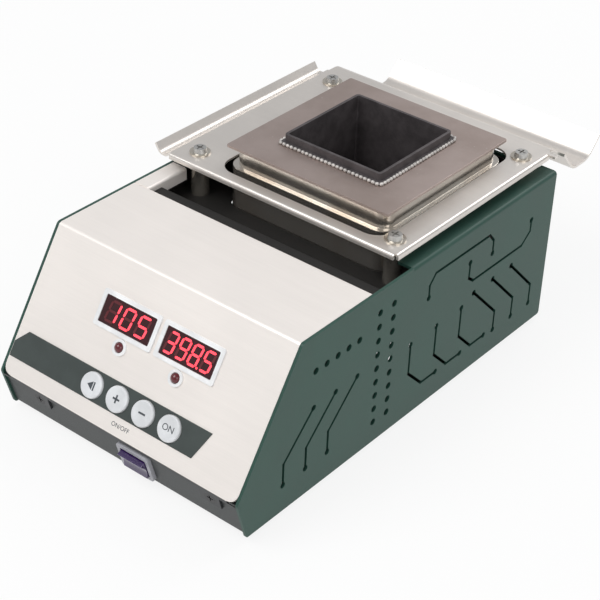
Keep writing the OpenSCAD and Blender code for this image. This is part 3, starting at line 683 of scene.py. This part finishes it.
class Mark(Enum):
    """What is printed on a key."""

    ARROW = "arrow"
    PLUS = "plus"
    MINUS = "minus"
    ON = "on"


@dataclass
class Finishes:
    """Every material of the product, made once."""

    made: dict[str, bpy.types.Material] = field(default_factory=dict)

    def __post_init__(self) -> None:
        """Builds each finish."""
        recipes = [
            PowderCoat("charcoal paint", (0.055, 0.06, 0.06), 0.45),
            PowderCoat("bottle green paint", (0.018, 0.062, 0.046), 0.38),
            # The well pan's near-black colour is partly paint and partly painted shade for the dark well under the
            # tray.
            PowderCoat("black pan with painted shade", (0.008, 0.007, 0.006), 0.65),
            # The cover turns near black and loses its metal below 21.4 mm.
            BrushedSteel("cover steel", (0.93, 0.87, 0.82), Grain.ACROSS, 0.38, 0.3, 0.0214),
            BrushedSteel("tray steel", (0.80, 0.75, 0.70), Grain.ACROSS, 0.3, 0.75),
            TintedSteel("shell steel", (0.68, 0.65, 0.6), (0.6, 0.53, 0.46), 0.1, 0.15),
            TintedSteel("plate steel", (0.46, 0.38, 0.35), (0.37, 0.3, 0.27), 0.4, 0.3),
            TintedSteel("post steel", (0.66, 0.62, 0.55), (0.6, 0.54, 0.46), 0.14, 0.0),
            TintedSteel("screw steel", (0.6, 0.59, 0.57), (0.5, 0.49, 0.47), 0.25, 0.0),
            DullIron("pot iron", (0.1, 0.088, 0.09)),
            DullIron("bead iron", (0.6, 0.57, 0.54)),
            DullIron("laminated iron", (0.2, 0.2, 0.2)),
            Moulding("mica board", (0.5, 0.42, 0.32), 0.6),
            Moulding("green film", (0.048, 0.06, 0.056), 0.35, 0.00001),
            Moulding("key white", (0.72, 0.73, 0.74), 0.35),
            Moulding("key ink", (0.06, 0.07, 0.08), 0.5),
            Moulding("panel ink", (0.07, 0.08, 0.09), 0.5),
            Moulding("black moulding", (0.022, 0.022, 0.023), 0.42),
            Moulding("bezel silver", (0.86, 0.86, 0.86), 0.3),
            Moulding("red acrylic", (0.036, 0.003, 0.005), 0.16, 0.000004, 0.25),
            Moulding("red epoxy", (0.11, 0.007, 0.012), 0.15, 0.000004, 0.4),
            Moulding("switch grey", (0.42, 0.42, 0.45), 0.4),
            Moulding("purple cap", (0.035, 0.014, 0.085), 0.12, 0.000004, 0.7),
            Moulding("terminal white", (0.7, 0.7, 0.68), 0.45),
            Moulding("foot rubber", (0.02, 0.02, 0.02), 0.75, 0.0001),
            Moulding("black anodising", (0.03, 0.03, 0.032), 0.35),
            Fibre("ceramic felt", (0.8, 0.78, 0.72)),
            Fibre("taped winding", (0.5, 0.3, 0.12)),
            Board("solder mask", (0.03, 0.16, 0.07)),
            TintedSteel("brass", (0.66, 0.5, 0.24), (0.6, 0.42, 0.2), 0.28, 0.0),
            Glow("lit segment", (1.0, 0.055, 0.08), 1.2),
            Glow("unlit segment", (0.1, 0.008, 0.012), 0.0),
        ]
        self.made = {r.name: r.build() for r in recipes}

    def __getitem__(self, name: str) -> bpy.types.Material:
        """The material of that name."""
        return self.made[name]

    def dress(self, name: str, nodes: Iterable[str]) -> None:
        """Gives solids that stay as they are their material.

        Args:
            name: The finish.
            nodes: The nodes that take it.
        """
        for node in nodes:
            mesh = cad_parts[node].data
            mesh.materials.clear()
            mesh.materials.append(self[name])


@dataclass
class Case:
    """Painted panels, stainless cover and the well behind it."""

    finishes: Finishes
    edge: float = 0.25

    def build(self) -> None:
        """Eases the sheets' edges and paints the rest."""
        f = self.finishes
        refine("front_cover", self.edge, f["cover steel"])
        refine("side_panel_left", self.edge, f["bottle green paint"])
        refine("side_panel_right", self.edge, f["bottle green paint"])
        # The well pan's near-black colour is partly paint and partly painted shade for the dark well under the tray.
        refine("well_pan", self.edge, f["black pan with painted shade"])
        f.dress("charcoal paint", ["base_pan"])
        f.dress("bottle green paint", ["rear_panel"])
        f.dress("screw steel", ["rear_screws", "base_screws", "foot_screws"])
        f.dress("black moulding", ["cover_screws"])
        f.dress("foot rubber", ["rubber_feet"])


@dataclass
class Tray:
    """The drip tray, its posts and its fasteners."""

    finishes: Finishes
    edge: float = 0.3

    def build(self) -> None:
        """Eases the tray's edges and dresses what holds it."""
        f = self.finishes
        refine("drip_tray", self.edge, f["tray steel"])
        f.dress("post steel", ["tray_posts", "tray_washers"])
        f.dress("screw steel", ["tray_screws", "post_screws"])


@dataclass
class Heater:
    """The pot, its plate and the polished can."""

    finishes: Finishes
    centre: tuple[float, float] = (5.4, 54.0)
    bead_half: float = 31.4
    plate_z: float = 105.0

    def build(self, beads: Tree) -> None:
        """Eases the pot and its can, and lays the seam beads round the pot's foot.

        Args:
            beads: The tree that lays beads along a line.
        """
        f = self.finishes
        refine("pot", 0.35, f["pot iron"])
        refine("mounting_plate", 0.3, f["plate steel"])
        refine("heater_shell", 0.5, f["shell steel"])
        f.dress("mica board", ["heater_band"])
        f.dress("ceramic felt", ["insulation_sleeve", "insulation_floor"])
        f.dress("shell steel", ["shell_base", "shell_legs"])
        f.dress("screw steel", ["leg_screws", "thermocouple"])
        h, r = self.bead_half, 2.2
        ring = []
        for sx, sy, a0 in ((1, 1, 0), (-1, 1, 90), (-1, -1, 180), (1, -1, 270)):
            for i in range(7):
                a = math.radians(a0 + 15 * i)
                ring.append(Vector((self.centre[0] + sx * (h - r) + r * math.cos(a),
                                    self.centre[1] + sy * (h - r) + r * math.sin(a),
                                        self.plate_z + 0.75)) * MM)
        beads.apply("seam_beads", line_mesh("seam", ring, True), {
            "Step": 0.0024, "Size": 0.00115, "Stretch": (0.8, 0.8, 1.0), "Material": f["bead iron"]}, "case",
                "pot_steel")


@dataclass
class Digits:
    """A row of seven-segment digits behind a display window."""

    text: str
    centre: float
    pitch: float = 7.3
    height: float = 9.6
    width: float = 5.0
    bar: float = 1.15
    slant: float = 0.14

    def shapes(self, lit: bool) -> list[list[tuple[float, float]]]:
        """The outlines of the segments that are on, or of those that are off.

        Args:
            lit: Which of the two is wanted.

        Returns:
            Outlines in millimetres about the display's centre.
        """
        on = {"0": "abcdef", "1": "bc", "3": "abcdg", "5": "acdfg", "8": "abcdefg", "9": "abcdfg"}
        h, w = self.height / 2, self.width / 2
        ends = {"a": ((-w, h), (w, h)), "b": ((w, h), (w, 0)), "c": ((w, 0), (w, -h)),
            "d": ((-w, -h), (w, -h)),
                "e": ((-w, 0), (-w, -h)), "f": ((-w, h), (-w, 0)), "g": ((-w, 0), (w, 0))}
        figures = [c for c in self.text if c != "."]
        out = []
        for i, figure in enumerate(figures):
            x = (i - (len(figures) - 1) / 2) * self.pitch
            for key, (p, q) in ends.items():
                if (key in on[figure]) == lit:
                    out.append([(x + u + v * self.slant, v) for u, v in self.bar_outline(p, q)])
        place = self.text.find(".")
        dot_x = (place - 1 - (len(figures) - 1) / 2) * self.pitch + w + 1.2 if place > 0 else None
        if dot_x is not None and lit:
            out.append([(dot_x - h * self.slant + 0.6 * math.cos(a), -h + 0.6 * math.sin(a))
                        for a in (math.pi * k / 6 for k in range(12))])
        return out

    def bar_outline(self, p: tuple[float, float], q: tuple[float, float]) -> list[tuple[float, float]]:
        """A pointed bar between two corners of a digit."""
        a, b = Vector(p), Vector(q)
        along = (b - a).normalized()
        side = Vector((-along.y, along.x)) * self.bar / 2
        a, b = a + along * 0.18, b - along * 0.18
        inset = along * self.bar / 2
        return [tuple(v) for v in (a, a + inset - side, b - inset - side, b, b - inset + side,
            a + inset + side)]


@dataclass
class Controls:
    """Everything on the sloped panel."""

    finishes: Finishes
    panel: Panel = field(default_factory=Panel)
    display_s: float = 26.2
    display_x: tuple[float, float] = (-15.6, 22.4)
    key_s: float = 61.0
    key_x0: float = -20.85
    key_pitch: float = 16.1
    key_d: float = 12.6
    key_up: float = 1.6

    def build(self) -> None:
        """Makes the digits, the keys and the printing, and dresses the rest."""
        f = self.finishes
        f.dress("green film", ["key_overlay"])
        f.dress("black moulding", ["key_switches", "display_module_left", "display_module_right"])
        f.dress("bezel silver", ["display_bezel_left", "display_bezel_right", "led_holders"])
        f.dress("red acrylic", ["display_window_left", "display_window_right"])
        f.dress("red epoxy", ["leds"])
        f.dress("solder mask", ["control_board", "power_board"])
        f.dress("terminal white", ["board_standoffs"])
        f.dress("screw steel", ["board_screws"])
        self.displays()
        for i, (node, mark) in enumerate((("key_set", Mark.ARROW), ("key_plus", Mark.PLUS),
                                          ("key_minus", Mark.MINUS), ("key_on", Mark.ON))):
            self.key(node, self.key_x0 + i * self.key_pitch, mark)
        self.words("switch_words", "ON/OFF", 2.0, 72.0, 3.0, "panel ink", 0.02, "case")

    def displays(self) -> None:
        """Lays the lit and unlit segments on the two windows."""
        for side, text, x in (("left", "105", self.display_x[0]), ("right", "398.5", self.display_x[1])):
            digits = Digits(text, x, 9.2 if side == "left" else 7.3, width=5.6 if side == "left" else 4.7)
            for lit in (True, False):
                bm = bmesh.new()
                for outline in digits.shapes(lit):
                    extrude_outline(bm, outline, 0.0, 0.05, self.panel.at(x, self.display_s, 0.405))
                to_object(f"digits_{side}_{'lit' if lit else 'dark'}", bm,
                          self.finishes["lit segment" if lit else "unlit segment"], "case",
                              None)

    def key(self, node: str, x: float, mark: Mark) -> None:
        """Makes one domed key with its mark.

        Args:
            node: The key's node, which is also its body.
            x: Its place across the panel.
            mark: What is printed on it.
        """
        r, top = self.key_d / 2, self.key_up
        place = self.panel.at(x, self.key_s)
        profile = [(0, -4.2), (2.5, -4.2), (2.5, -2.5), (r + 1.3, -2.5), (r + 1.3, -1.5), (r, -1.5),
            (r, top - 0.7),
                   (r - 0.15, top - 0.35), (r - 0.5, top - 0.12), (r - 1.1, top - 0.02), (r - 1.6, top - 0.1),
                   (0, top - 0.1)]
        bm = bmesh.new()
        lathe(bm, profile, place, 72)
        bmesh.ops.recalc_face_normals(bm, faces=bm.faces)
        cap = to_object(node + "_cap", bm, self.finishes["key white"], node)
        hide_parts(node)
        ink = self.panel.at(x, self.key_s, top - 0.09)
        bm = bmesh.new()
        if mark in (Mark.PLUS, Mark.MINUS):
            extrude_outline(bm, stroke((-2.0, 0), (2.0, 0), 0.9), 0, 0.06, ink)
            if mark is Mark.PLUS:
                for a, b in (((0, -2.0), (0, -0.45)), ((0, 0.45), (0, 2.0))):
                    extrude_outline(bm, stroke(a, b, 0.9), 0, 0.06, ink)
        elif mark is Mark.ARROW:
            extrude_outline(bm, [(-2.2, 0), (0.9, -2.1), (0.9, 2.1)], 0, 0.06, ink)
            extrude_outline(bm, stroke((1.8, -2.1), (1.8, 2.1), 0.8), 0, 0.06, ink)
        else:
            bm.free()
            self.words(node + "_mark", "ON", x, self.key_s, 4.4, "key ink", top - 0.06, node)
            return
        to_object(node + "_mark", bm, self.finishes["key ink"], node, None)

    def words(self, name: str, text: str, x: float, s: float, size: float, ink: str, lift: float, body: str) -> None:
        """Prints a word on the panel's plane.

        Args:
            name: The piece's name.
            text: The word.
            x: Its middle across the panel.
            s: Its middle down the slope.
            size: The letters' size in millimetres.
            ink: The finish.
            lift: Its height over the panel's face.
            body: The body it rides on.
        """
        curve = bpy.data.curves.new(name, "FONT")
        curve.body = text
        curve.size = size * MM
        curve.align_x = "CENTER"
        curve.align_y = "CENTER"
        curve.extrude = 0.00002
        holder = bpy.data.objects.new(name + "_font", curve)
        bpy.context.scene.collection.objects.link(holder)
        mesh = bpy.data.meshes.new_from_object(holder.evaluated_get(bpy.context.evaluated_depsgraph_get()))
        bpy.data.objects.remove(holder)
        mesh.transform(self.panel.at(x, s, lift))
        bm = bmesh.new()
        bm.from_mesh(mesh)
        bmesh.ops.remove_doubles(bm, verts=bm.verts, dist=1e-6)
        bpy.data.meshes.remove(mesh)
        to_object(name, bm, self.finishes[ink], body, None)


@dataclass
class MainsSwitch:
    """The rocker and its housing under the nose."""

    finishes: Finishes

    def build(self) -> None:
        """Eases both parts' edges."""
        f = self.finishes
        refine("switch_housing", 0.25, f["switch grey"])
        refine("switch_rocker", 0.3, f["purple cap"], "rocker", 25)


@dataclass
class Inside:
    """Boards, transformer and wiring blocks on the floor."""

    finishes: Finishes

    def build(self) -> None:
        """Dresses the boards, the transformer and the wiring blocks."""
        f = self.finishes
        f.dress("laminated iron", ["transformer_core"])
        f.dress("taped winding", ["transformer_coil"])
        f.dress("black anodising", ["heat_sink"])
        f.dress("black moulding", ["power_triac"])
        f.dress("terminal white", ["terminal_block"])
        f.dress("brass", ["earth_stud", "inlet_pins"])
        f.dress("screw steel", ["power_board_posts", "power_board_screws"])


@dataclass
class Rear:
    """The inlet and the fuse holder."""

    finishes: Finishes

    def build(self) -> None:
        """Eases the inlet's edges and dresses the rest."""
        f = self.finishes
        refine("mains_inlet", 0.25, f["black moulding"])
        refine("fuse_holder", 0.2, f["black moulding"])
        refine("fuse_cap", 0.2, f["black moulding"])
        f.dress("screw steel", ["inlet_screws", "inlet_nuts"])


@dataclass
class Studio:
    """Floor, lights, world and camera."""

    eye: Point = (0.436188, -0.544829, 0.504865)
    right: Point = (0.77251436, 0.63412218, 0.03332593)
    up: Point = (-0.37563934, 0.41404506, 0.82913315)
    forward: Point = (-0.51197328, 0.6530358, -0.55805699)
    lens: float = 101.51
    floor_z: float = -0.003

    def build(self) -> None:
        """Sets up everything that isn't the product."""
        self.floor()
        self.world()
        self.lamp("key light", (-0.5, -0.9, 1.5), (0.0, 0.0, 0.05), 1.1, 16)
        self.lamp("fill light", (1.4, -0.5, 0.9), (0.0, 0.0, 0.05), 1.0, 6)
        self.lamp("back light", (0.1, 1.3, 1.2), (0.0, 0.0, 0.08), 1.0, 9)
        self.camera()

    def floor(self) -> None:
        """A wide pale floor that keeps the product's shadow."""
        bm = bmesh.new()
        bmesh.ops.create_grid(bm, x_segments=1, y_segments=1, size=6.0)
        for v in bm.verts:
            v.co.z = self.floor_z
        mesh = bpy.data.meshes.new("floor")
        bm.to_mesh(mesh)
        bm.free()
        obj = bpy.data.objects.new("floor", mesh)
        bpy.context.scene.collection.objects.link(obj)
        g = Graph("pale floor")
        path = {name: g.node("ShaderNodeLightPath", out=f"Is {name} Ray") for name in ("Camera", "Glossy",
            "Transmission")}
        seen = path["Camera"].larger(path["Glossy"]).larger(path["Transmission"])
        plain = g.node("ShaderNodeBsdfDiffuse", {}, {"Color": (0.86, 0.86, 0.85)})
        white = g.node("ShaderNodeEmission", {}, {"Color": (1.0, 1.0, 1.0), "Strength": 1.0})
        g.node_out(g.node("ShaderNodeMixShader", {}, {0: seen * 0.85, 1: plain, 2: white}))
        mesh.materials.append(g.material)

    def world(self) -> None:
        """A soft surround that reads as white to the eye."""
        world = bpy.data.worlds.new("surround")
        bpy.context.scene.world = world
        world.use_nodes = True
        nodes, links = world.node_tree.nodes, world.node_tree.links
        nodes.clear()
        path = nodes.new("ShaderNodeLightPath")
        seen = nodes.new("ShaderNodeMath")
        seen.operation = "MAXIMUM"
        links.new(path.outputs["Is Camera Ray"], seen.inputs[0])
        links.new(path.outputs["Is Transmission Ray"], seen.inputs[1])
        soft = nodes.new("ShaderNodeBackground")
        soft.inputs["Color"].default_value = (0.9, 0.92, 0.95, 1.0)
        soft.inputs["Strength"].default_value = 0.5
        white = nodes.new("ShaderNodeBackground")
        white.inputs["Color"].default_value = (1.0, 1.0, 1.0, 1.0)
        mixed = nodes.new("ShaderNodeMixShader")
        links.new(seen.outputs[0], mixed.inputs[0])
        links.new(soft.outputs[0], mixed.inputs[1])
        links.new(white.outputs[0], mixed.inputs[2])
        links.new(mixed.outputs[0], nodes.new("ShaderNodeOutputWorld").inputs["Surface"])

    def lamp(self, name: str, place: Point, aim: Point, size: float, power: float) -> None:
        """Adds a soft square lamp.

        Args:
            name: Its name.
            place: Where it hangs, in metres.
            aim: What it points at.
            size: Its side, in metres.
            power: Its power in watts.
        """
        data = bpy.data.lights.new(name, "AREA")
        data.size = size
        data.energy = power
        lamp = bpy.data.objects.new(name, data)
        bpy.context.scene.collection.objects.link(lamp)
        lamp.location = place
        lamp.rotation_euler = (Vector(aim) - Vector(place)).to_track_quat("-Z", "Y").to_euler()

    def camera(self) -> None:
        """Puts the camera at the fitted view."""
        data = bpy.data.cameras.new("camera")
        data.lens = self.lens
        data.sensor_width = 36.0
        data.clip_start = 0.01
        data.dof.use_dof = False
        camera = bpy.data.objects.new("camera", data)
        bpy.context.scene.collection.objects.link(camera)
        turn = Matrix((self.right, self.up, tuple(-c for c in self.forward))).transposed()
        camera.matrix_world = Matrix.Translation(self.eye) @ turn.to_4x4()
        bpy.context.scene.camera = camera


def main() -> None:
    """Builds the product and the studio."""
    logging.basicConfig(level=logging.INFO, format="%(message)s")
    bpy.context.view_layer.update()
    bpy.context.scene.view_settings.view_transform = "Standard"
    finishes = Finishes()
    beads = beads_tree()
    Studio().build()
    Case(finishes).build()
    Tray(finishes).build()
    Heater(finishes).build(beads)
    Controls(finishes).build()
    MainsSwitch(finishes).build()
    Inside(finishes).build()
    Rear(finishes).build()


if __name__ == "__main__":
    main()
